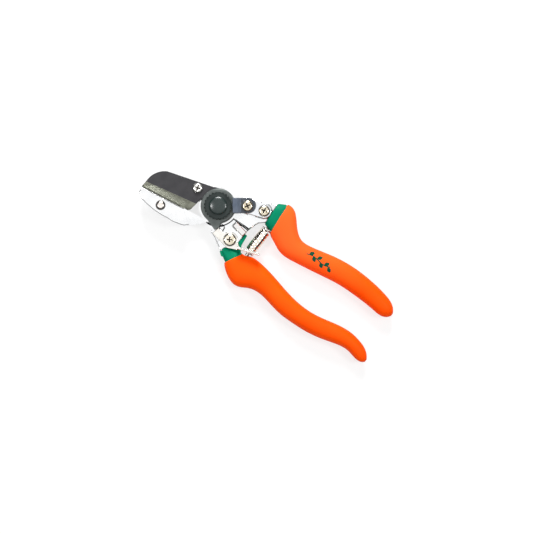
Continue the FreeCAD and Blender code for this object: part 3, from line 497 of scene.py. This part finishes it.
# width of the rolled rims, and of the finer edges, in metres
EDGE_ROLL = {
    "anvil_frame": (0.0012, 0.0), "blade_frame": (0.0010, 0.0), "anvil_insert": (0.0002, 0.0002),
    "anvil_rivet": (0.0005, 0.0002), "pivot_bolt": (0.0002, 0.0002), "pivot_nut": (0.0003, 0.00012),
    "lock_plate": (0.00035, 0.0002), "lock_bar": (0.0007, 0.0002), "blade": (0.00025, 0.00012),
    "pivot_disc": (0.0003, 0.0002), "stop_block": (0.0004, 0.0002), "catch_washer": (0.0002, 0.0002),
    "catch_lever": (0.0004, 0.0002), "upper_spring_seat": (0.0002, 0.0002),
    "lower_spring_seat": (0.0002, 0.0002), "wave_washer": (0.0001, 0.0001),
    "pivot_bushing": (0.0001, 0.0001),
}
ROLLED = {"anvil_frame": front_rims, "blade_frame": rear_rims}
STEP_MARGIN = 0.0006                # the jaw is rolled from this far outside its step
BEVEL_MARGIN = 0.0008               # the ground faces end this far before the line's near end
PLATE_TIP_HEIGHT = 0.0140           # the joggled tip of the lock plate lies above this

SCREWS = ("lock_plate_screw", "lock_bar_screw", "blade_screw", "catch_screw")
SCREW_ROLL = (0.0006, 0.00012)
RECESS_REACH = 0.72                 # the cross lies inside this share of the head's radius
HEAD_RIM = 0.85                     # and the rolled rim outside this one
HEAD_SKIN = 0.00025                 # the cross is deeper than this under the top of the head
SHANK_END = 0.0006                  # and the end of the shank is none of it


def on_bevel(face):
    """Whether a face of the blade was ground: past the bevel's upper line and not underneath."""
    (far_x, far_y), (near_x, near_y) = BEVEL_FAR, BEVEL_NEAR
    centre = face.center
    line = far_y + (centre.x - far_x) * (near_y - far_y) / (near_x - far_x)
    return centre.y < line and face.normal.z > -0.5 and centre.x < near_x - BEVEL_MARGIN


def on_plate_tip(face):
    return face.center.z > PLATE_TIP_HEIGHT


def screw(node):
    """Pan-head screw: its outer rim rolled over, its cross kept crisp and dark with painted shade."""
    low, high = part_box(node)
    axis = plan_axis(low, high)
    radius = (high.x - low.x) / 2

    def away(spot):
        return (Vector((spot.x, spot.y, 0)) - axis).length

    def head_rim(spot):
        return float(away(spot) > radius * HEAD_RIM)

    def in_cross(face):
        spot = face.center
        return away(spot) < radius * RECESS_REACH and low.z + SHANK_END < spot.z < high.z - HEAD_SKIN

    piece = softened(node, *SCREW_ROLL, head_rim)
    # the cross recess is painted dark as shade
    paint(piece, RECESS_SHADE, in_cross)
    return piece


# ---------------------------------------------------------------- oval pieces: grips, collars

AROUND = 56                         # points round an oval ring
HANDLE_HEIGHT = 0.0065              # height of the middle of both handles
GRIP_STEPS = 84
GRIP_LIP = 0.0009                   # radius of the rolled lip at the collar
GRIP_POWER = 2.08                   # 2 is an ellipse, and more is squarer
GRIP_END = 0.006                    # length over which the rings crowd towards the end
GRIP_SHORT = 0.00006                # the last ring stops this short of the CAD grip
GRIP_SQUARE_X = 0.046               # the rings stand square to X from here on
GRIP_FRONTS = {                     # where the rings of a grip begin, and their turn there in degrees
    "upper_grip": (0.0396, 8.5),
    "lower_grip": (0.0310, -25.8),
}
COLLAR_TAIL = ((0.0012, 0.0002), (0.0022, 0.0012))      # under its grip a collar runs on, and shrinks

# Collars, from their front ends to their grips, as in the CAD.
UPPER_COLLAR_X = (0.0341, 0.0396)
UPPER_COLLAR_TURN = (4.5, 8.6)
# lower one: centre X, centre Y, half width and half height in mm, turn in degrees
LOWER_COLLAR = ((22.2, -22.0, 2.6, 3.3, -16.5), (26.6, -22.2, 4.9, 4.4, -20.0),
                (31.5, -22.6, 6.8, 5.4, -25.8))
HAND_STOP = ((28.0, -3.9), (29.5, -4.1), (30.6, -12.4), (33.6, -16.8), (33.0, -25.0), (23.6, -27.2),
             (20.7, -25.0), (25.0, -21.0), (27.5, -12.3))      # outline in mm
HAND_STOP_HEIGHT = 0.008
HAND_STOP_CORNER = 0.0004           # rounding of its upright edges
HAND_STOP_RIM = 0.0003              # rounding of its level edges
CAD_LINES = {}


def cad_lines(node):
    """Points and edges of a CAD node, read once."""
    if node not in CAD_LINES:
        data = frame["nodes"][node].data
        CAD_LINES[node] = ([v.co.copy() for v in data.vertices], [tuple(e.vertices) for e in data.edges])
    return CAD_LINES[node]


def slice_extent(node, origin, turn):
    """Extent of a CAD node in the upright plane through origin, or None where the plane misses it.

    It is the lowest and highest place sideways, then the lowest and highest Z.
    """
    points, edges = cad_lines(node)
    way = heading(turn)
    across = sideways(turn)
    ahead = [(p - origin).dot(way) for p in points]
    found = []
    for a, b in edges:
        if (ahead[a] > 0) != (ahead[b] > 0):
            spot = points[a].lerp(points[b], ahead[a] / (ahead[a] - ahead[b]))
            found.append(((spot - origin).dot(across), spot.z))
    if not found:
        return None
    sides, heights = zip(*found)
    return min(sides), max(sides), min(heights), max(heights)


def oval_ring(origin, turn, extent, power, shrink=0.0):
    """Ring of points that fills an extent, drawn in by shrink."""
    low, high, floor, top = extent
    across = sideways(turn)
    middle = (low + high) / 2
    rise = (floor + top) / 2
    half_wide = (high - low) / 2 - shrink
    half_high = (top - floor) / 2 - shrink
    ring = []
    for step in range(AROUND):
        angle = 2 * math.pi * step / AROUND
        c = math.cos(angle)
        s = math.sin(angle)
        wide = math.copysign(abs(c) ** (2 / power), c) * half_wide
        high_by = math.copysign(abs(s) ** (2 / power), s) * half_high
        spot = origin + across * (middle + wide)
        ring.append(Vector((spot.x, spot.y, rise + high_by)))
    return ring


def skin_rings(name, rings):
    """Closed skin over a row of rings, capped at both ends."""
    mesh = bpy.data.meshes.new(name)
    work = bmesh.new()
    rows = [[work.verts.new(p) for p in ring] for ring in rings]
    count = len(rows[0])
    for first, second in zip(rows, rows[1:]):
        for i in range(count):
            j = (i + 1) % count
            work.faces.new((first[i], first[j], second[j], second[i]))
    work.faces.new(rows[0])
    work.faces.new(rows[-1])
    bmesh.ops.recalc_face_normals(work, faces=work.faces)
    work.to_mesh(mesh)
    work.free()
    return new_object(name, mesh)


def lip_rings(origin, turn, extent):
    """Rings that roll out from a small mouth to the full extent."""
    rings = []
    for step in range(6):
        angle = math.pi / 2 * step / 5
        spot = origin + heading(turn) * GRIP_LIP * (0.55 - math.cos(angle))
        rings.append(oval_ring(spot, turn, extent, GRIP_POWER, GRIP_LIP * (1 - math.sin(angle))))
    return rings


def grip_stations(front_x, end_x):
    """Places of a grip's rings along X: evenly spaced, then crowded towards the rounded end."""
    reach = end_x - 0.0001 - front_x
    body = [front_x + reach * step / GRIP_STEPS for step in range(GRIP_STEPS + 1)]
    end = [end_x - GRIP_END * (1 - math.sin(math.pi / 2 * step / 9)) - GRIP_SHORT for step in range(10)]
    return [x for x in body if x < end[0] - 0.001] + end


def grip(node):
    """Dipped handle cover: oval rings that follow the CAD grip, with a rolled lip at the collar.

    The rings start out turned and come square to X. The first one that meets the CAD grip gets
    the lip.
    """
    low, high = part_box(node)
    middle_y = (low.y + high.y) / 2
    front_x, front_degrees = GRIP_FRONTS[node]
    front_turn = math.radians(front_degrees)
    rings = []
    for x in grip_stations(front_x, high.x):
        turn = front_turn * max(0.0, 1 - (x - front_x) / (GRIP_SQUARE_X - front_x)) ** 1.2
        origin = Vector((x, middle_y, 0))
        extent = slice_extent(node, origin, turn)
        if extent is None:
            continue
        if not rings:
            lip = origin
            ahead = heading(turn)
            rings = lip_rings(lip, turn, extent)
        elif (origin - lip).dot(ahead) > GRIP_LIP:
            rings.append(oval_ring(origin, turn, extent, GRIP_POWER))
    piece = skin_rings(node + "_vinyl", rings)
    smooth(piece.data, 60.0)
    return place(piece, node)


def collar_rings(stations, power, lead, rounding):
    """Rings of a collar: a rounded front end, its stations, and a tail that runs on under the grip."""
    rings = []
    spot, turn, extent = stations[0]
    for step in range(4):
        angle = math.pi / 2 * step / 4
        start = spot - heading(turn) * lead * math.cos(angle)
        rings.append(oval_ring(start, turn, extent, power, rounding * (1 - math.sin(angle))))
    for spot, turn, extent in stations:
        rings.append(oval_ring(spot, turn, extent, power))
    for run, shrink in COLLAR_TAIL:
        rings.append(oval_ring(spot + heading(turn) * run, turn, extent, power, shrink))
    return rings


def upper_liner(node):
    """Green collar on the upper tang."""
    low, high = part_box(node)
    (first_x, last_x), (first_turn, last_turn) = UPPER_COLLAR_X, UPPER_COLLAR_TURN
    stations = []
    steps = 6
    for step in range(steps + 1):
        share = step / steps
        turn = math.radians(first_turn + (last_turn - first_turn) * share)
        spot = Vector((first_x + (last_x - first_x) * share, (low.y + high.y) / 2, 0))
        stations.append((spot, turn, slice_extent(node, spot, turn)))
    piece = skin_rings(node + "_collar", collar_rings(stations, power=2.6, lead=0.0005, rounding=0.0006))
    smooth(piece.data, 60.0)
    return place(piece, node)


def lower_collar_at(share):
    """Collar section at a share of its length, on a smooth curve through the three stations."""
    part = share * 2
    weights = ((1 - part) * (2 - part) / 2, part * (2 - part), part * (part - 1) / 2)
    return [sum(w * row[i] for w, row in zip(weights, LOWER_COLLAR)) for i in range(5)]


def add_hand_stop(work, floor_z):
    """Rounded slab over the hand stop's outline."""
    base = work.faces.new([work.verts.new((x * MM, y * MM, floor_z)) for x, y in HAND_STOP])
    lifted = bmesh.ops.extrude_face_region(work, geom=[base])
    for vert in lifted["geom"]:
        if isinstance(vert, bmesh.types.BMVert):
            vert.co.z = floor_z + HAND_STOP_HEIGHT
    upright = [e for e in work.edges if abs(e.verts[0].co.z - e.verts[1].co.z) > 0.001]
    bmesh.ops.bevel(work, geom=upright, offset=HAND_STOP_CORNER, segments=4, affect="EDGES", profile=0.5)
    level = [e for e in work.edges if abs(e.verts[0].co.z - e.verts[1].co.z) < 1e-6]
    bmesh.ops.bevel(work, geom=level, offset=HAND_STOP_RIM, segments=3, affect="EDGES", profile=0.5)
    bmesh.ops.recalc_face_normals(work, faces=work.faces)


def lower_liner(node):
    """Green collar and hand stop of the lower tang, one moulding that runs on under the grip."""
    stations = []
    steps = 12
    for step in range(steps + 1):
        x, y, wide, tall, turn = lower_collar_at(step / steps)
        extent = (-wide * MM, wide * MM, HANDLE_HEIGHT - tall * MM, HANDLE_HEIGHT + tall * MM)
        stations.append((Vector((x * MM, y * MM, 0)), math.radians(turn), extent))
    piece = skin_rings(node + "_collar", collar_rings(stations, power=2.4, lead=0.0008, rounding=0.0010))
    work = bmesh.new()
    add_hand_stop(work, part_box(node)[0].z)
    work.from_mesh(piece.data)
    work.to_mesh(piece.data)
    work.free()
    smooth(piece.data, 40.0)
    return place(piece, node)


# ---------------------------------------------------------------- button, print, spring

DOME_SKIRT = 0.0007                 # height of the button's upright side
SKIRT_BREAK = 0.0002                # chamfer at its foot
DIMPLE = 0.0007                     # radius of the dimple on its top
DIMPLE_DEPTH = 0.00004

PRINT_SHARE = 0.394                 # place of the print along the upper grip's box
PRINT_LIFT = 0.0008                 # and off the middle of the grip's width there
PRINT_TURN = math.radians(8.0)
STEM_LENGTH = 0.0196
STEM_STEPS = 12
LEAF_LENGTH = 0.0042
LEAF_HALF_WIDTH = 0.0014
LEAF_LEAN = math.radians(42.0)
LINE_HALF_WIDTH = 0.0004
INK_ABOVE = 0.00005                 # the print stands this far out of the grip
INK_BELOW = 0.0002                  # and reaches this far into it

SPRING_TURNS = 6.5
SPRING_STEPS = 40                   # rings per turn
STRIP_WIDTH = 0.0027
STRIP_THICKNESS = 0.00045


def dome(node):
    """Glossy button: a shallow dome with a small dimple and a rounded skirt."""
    low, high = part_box(node)
    axis = plan_axis(low, high)
    radius = (high.x - low.x) / 2
    rise = high.z - low.z - DOME_SKIRT
    profile = [(radius - SKIRT_BREAK, low.z), (radius, low.z + SKIRT_BREAK)]
    for step in range(15):
        angle = math.pi / 2 * step / 15
        height = low.z + DOME_SKIRT + rise * math.sin(angle) ** 1.15
        profile.append((radius * math.cos(angle) ** 0.9, height))
    profile.append((DIMPLE, high.z - DIMPLE_DEPTH))
    around = 72
    rings = []
    for reach, z in profile:
        turns = [2 * math.pi * i / around for i in range(around)]
        rings.append([axis + Vector((reach * math.cos(turn), reach * math.sin(turn), z)) for turn in turns])
    piece = skin_rings(node + "_dome", rings)
    smooth(piece.data, 60.0)
    return place(piece, node)


def sprig_outlines():
    """Flat outlines of a wavy stem and six leaves on alternate sides, about the stem's middle."""
    stem = []
    for step in range(STEM_STEPS + 1):
        along = STEM_LENGTH * step / STEM_STEPS - STEM_LENGTH / 2
        stem.append((along, 0.0009 * math.sin(math.pi * step / 6)))
    upper = [(x, y + LINE_HALF_WIDTH) for x, y in stem]
    lower = [(x, y - LINE_HALF_WIDTH) for x, y in reversed(stem)]
    outlines = [upper + lower]
    for leaf in range(6):
        lean = LEAF_LEAN * (-1) ** leaf
        base = Vector(stem[2 * leaf + 1])
        along = Vector((math.cos(lean), math.sin(lean)))
        across = Vector((-along.y, along.x))
        left = []
        right = []
        for step in range(9):
            share = step / 8
            spine = base + along * (LEAF_LENGTH * share + LINE_HALF_WIDTH)
            bulge = across * (LEAF_HALF_WIDTH * math.sin(math.pi * share) ** 0.8)
            left.append(tuple(spine + bulge))
            right.append(tuple(spine - bulge))
        outlines.append(left + right[7:0:-1])
    return outlines


def printed_sprig(ground):
    """A generic leafy twig printed on the upper grip, standing in for the real tool's marking."""
    low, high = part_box("upper_grip")
    along_grip = low.x + (high.x - low.x) * PRINT_SHARE
    across_low, across_high, _, _ = slice_extent("upper_grip", Vector((along_grip, 0, 0)), 0.0)
    centre = Vector((along_grip, (across_low + across_high) / 2 + PRINT_LIFT))
    along = heading(PRINT_TURN).to_2d()
    across = sideways(PRINT_TURN).to_2d()
    work = bmesh.new()
    for outline in sprig_outlines():
        spots = [centre + along * x + across * y for x, y in outline]
        work.faces.new([work.verts.new((spot.x, spot.y, 0.0)) for spot in spots])
    bmesh.ops.triangulate(work, faces=work.faces)
    bmesh.ops.subdivide_edges(work, edges=work.edges, cuts=1, use_grid_fill=True)
    bmesh.ops.recalc_face_normals(work, faces=work.faces)
    for face in work.faces:
        if face.normal.z < 0:
            face.normal_flip()
    solid = bmesh.ops.extrude_face_region(work, geom=list(work.faces))
    raised = {v for v in solid["geom"] if isinstance(v, bmesh.types.BMVert)}
    for vert in work.verts:
        hit, spot, normal, index = ground.ray_cast((vert.co.x, vert.co.y, high.z + 0.01), (0, 0, -1))
        vert.co.z = spot.z + (INK_ABOVE if vert in raised else -INK_BELOW)
    bmesh.ops.recalc_face_normals(work, faces=work.faces)
    mesh = bpy.data.meshes.new("printed_sprig")
    work.to_mesh(mesh)
    work.free()
    piece = new_object("printed_sprig", mesh)
    mesh.materials.append(PRINT)
    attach(piece, "anvil_handle")
    return piece


def strip_section():
    """Rounded rectangle across the spring's strip: outward and along offsets."""
    round_by = STRIP_THICKNESS * 0.45
    section = []
    for quarter, (side_u, side_v) in enumerate(((1, 1), (-1, 1), (-1, -1), (1, -1))):
        for step in range(3):
            angle = math.pi / 2 * (quarter + step / 2)
            section.append((side_u * (STRIP_THICKNESS / 2 - round_by) + round_by * math.cos(angle),
                            side_v * (STRIP_WIDTH / 2 - round_by) + round_by * math.sin(angle)))
    return section


def spring(node):
    """Flat strip wound between the two seats; its ends follow the two handles."""
    low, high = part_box(node)
    axis_x = (low.x + high.x) / 2
    axis_z = (low.z + high.z) / 2
    outer = (high.x - low.x) / 2
    section = strip_section()
    rings = []
    steps = int(SPRING_TURNS * SPRING_STEPS)
    for step in range(steps + 1):
        share = step / steps
        angle = 2 * math.pi * SPRING_TURNS * share
        along = low.y + STRIP_WIDTH / 2 + (high.y - low.y - STRIP_WIDTH) * share
        radius = outer - STRIP_THICKNESS / 2 - 0.0003 * (1 - math.sin(math.pi * share))
        outward = Vector((math.cos(angle), 0, math.sin(angle)))
        rings.append([Vector((axis_x, along + v, axis_z)) + outward * (radius + u) for u, v in section])
    piece = skin_rings(node + "_strip", rings)
    smooth(piece.data, 50.0)
    place(piece, node, rides=False)
    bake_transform(piece, "anvil_handle", "blade_handle",
             start=(axis_x, high.y, axis_z), end=(axis_x, low.y, axis_z))
    return piece


# ---------------------------------------------------------------- all pieces

pieces = {}
for node, (rim, fine) in EDGE_ROLL.items():
    pieces[node] = softened(node, rim, fine, ROLLED.get(node))
for node in SCREWS:
    pieces[node] = screw(node)
# the blade screw takes the brighter, painted-light copy of the nickel
pieces["blade_screw"].data.materials[0] = LIT_SCREW_NICKEL
paint(pieces["blade"], EDGE_STEEL, on_bevel)
paint(pieces["lock_plate"], PLATE_TIP, on_plate_tip)
upper_liner("upper_grip_liner")
lower_liner("lower_grip_liner")
dome("nut_cap")
upper_grip = grip("upper_grip")
grip("lower_grip")
spring("coil_spring")
# the upper grip takes the orange with the painted sheen
upper_grip.data.materials[0] = SHEEN_ORANGE
bpy.context.view_layer.update()
printed_sprig(upper_grip)


# ---------------------------------------------------------------- floor, light, camera

FLOOR_REACH = 5.0
FLOOR_GAP = 0.0004                  # between the shears and the floor
FLOOR_GLOW = 0.68
SKY_STRENGTH = 1.08
CAMERA_SKY = (0.8, 0.8, 0.8)
LIGHT_AIM = (0.04, 0.0, 0.0)        # middle of the mechanism
# brightness of the sky by the sine of its elevation: 0 is the horizon and all below, 1 is overhead
SKY = ((0.0, 0.02), (0.60, 0.02), (0.82, 0.95), (1.0, 1.0))
AIM_SHIFT = (0.0046, -0.0103, 0.0)  # from the middle of the CAD box to the middle of the view
CAMERA_ROLL = math.radians(38.0)
CAMERA_DISTANCE = 1.3
VIEW_WIDTH = 0.3845                 # what the view spans at that distance
VIEW_LEVEL = 0.010                  # height at which it spans that
SENSOR = 36.0


def build_stage():
    """Pale floor that gives off a little light of its own."""
    mesh = bpy.data.meshes.new("floor")
    reach = FLOOR_REACH
    mesh.from_pydata([(-reach, -reach, 0), (reach, -reach, 0), (reach, reach, 0), (-reach, reach, 0)], [],
                     [(0, 1, 2, 3)])
    floor = new_object("floor", mesh)
    floor.location.z = cad_bounds[0][2] - FLOOR_GAP
    made = Surface("pale_floor", 0.0, Specular_IOR_Level=0.1)
    made.colour(made.ramp(made.noise(3.0, 2.0), [(0.3, (0.28, 0.28, 0.28)), (0.7, (0.30, 0.30, 0.30))]))
    made.shader.inputs["Roughness"].default_value = 0.9
    made.shader.inputs["Emission Color"].default_value = (1.0, 1.0, 1.0, 1.0)
    made.shader.inputs["Emission Strength"].default_value = FLOOR_GLOW
    mesh.materials.append(made.material)


def build_world():
    """Bright overhead, dark lower down, which draws the outlines in the chrome; the camera sees it pale."""
    world = bpy.data.worlds.new("studio")
    scene.world = world
    world.use_nodes = True
    tree = world.node_tree
    background = tree.nodes["Background"]
    direction = tree.nodes.new("ShaderNodeTexCoord")
    split = tree.nodes.new("ShaderNodeSeparateXYZ")
    ramp = tree.nodes.new("ShaderNodeValToRGB")
    tree.links.new(direction.outputs["Generated"], split.inputs[0])
    tree.links.new(split.outputs["Z"], ramp.inputs["Fac"])
    tree.links.new(ramp.outputs["Color"], background.inputs["Color"])
    set_stops(ramp, [(height, (value, value, value)) for height, value in SKY])
    background.inputs["Strength"].default_value = SKY_STRENGTH
    pale = tree.nodes.new("ShaderNodeBackground")
    pale.inputs["Color"].default_value = CAMERA_SKY + (1.0,)
    rays = tree.nodes.new("ShaderNodeLightPath")
    choose = tree.nodes.new("ShaderNodeMixShader")
    tree.links.new(rays.outputs["Is Camera Ray"], choose.inputs["Fac"])
    tree.links.new(background.outputs[0], choose.inputs[1])
    tree.links.new(pale.outputs[0], choose.inputs[2])
    tree.links.new(choose.outputs[0], tree.nodes["World Output"].inputs["Surface"])


def add_light(name, location, size, power):
    """Round soft light."""
    data = bpy.data.lights.new(name, "AREA")
    data.shape = "DISK"
    data.size = size
    data.energy = power
    lamp = bpy.data.objects.new(name, data)
    scene.collection.objects.link(lamp)
    lamp.location = location
    direction = Vector(LIGHT_AIM) - Vector(location)
    lamp.rotation_euler = direction.to_track_quat("-Z", "Y").to_euler()


def build_camera():
    """Straight above the shears, rolled so they run down to the right."""
    middle = (Vector(cad_bounds[0]) + Vector(cad_bounds[1])) / 2
    centre = middle + Vector(AIM_SHIFT)
    data = bpy.data.cameras.new("camera")
    data.sensor_width = SENSOR
    data.lens = SENSOR * CAMERA_DISTANCE / VIEW_WIDTH
    camera = bpy.data.objects.new("camera", data)
    scene.collection.objects.link(camera)
    camera.location = (centre.x, centre.y, VIEW_LEVEL + CAMERA_DISTANCE)
    camera.rotation_euler = (0, 0, CAMERA_ROLL)
    scene.camera = camera


build_stage()
build_world()
add_light("key", (-0.50, 0.70, 0.50), 0.45, 14.0)
add_light("left_box", (-0.40, -0.32, 0.80), 0.22, 2.6)
add_light("right_box", (0.56, 0.42, 0.75), 0.22, 2.6)
build_camera()
scene.view_settings.view_transform = "Standard"
scene.view_settings.look = "None"
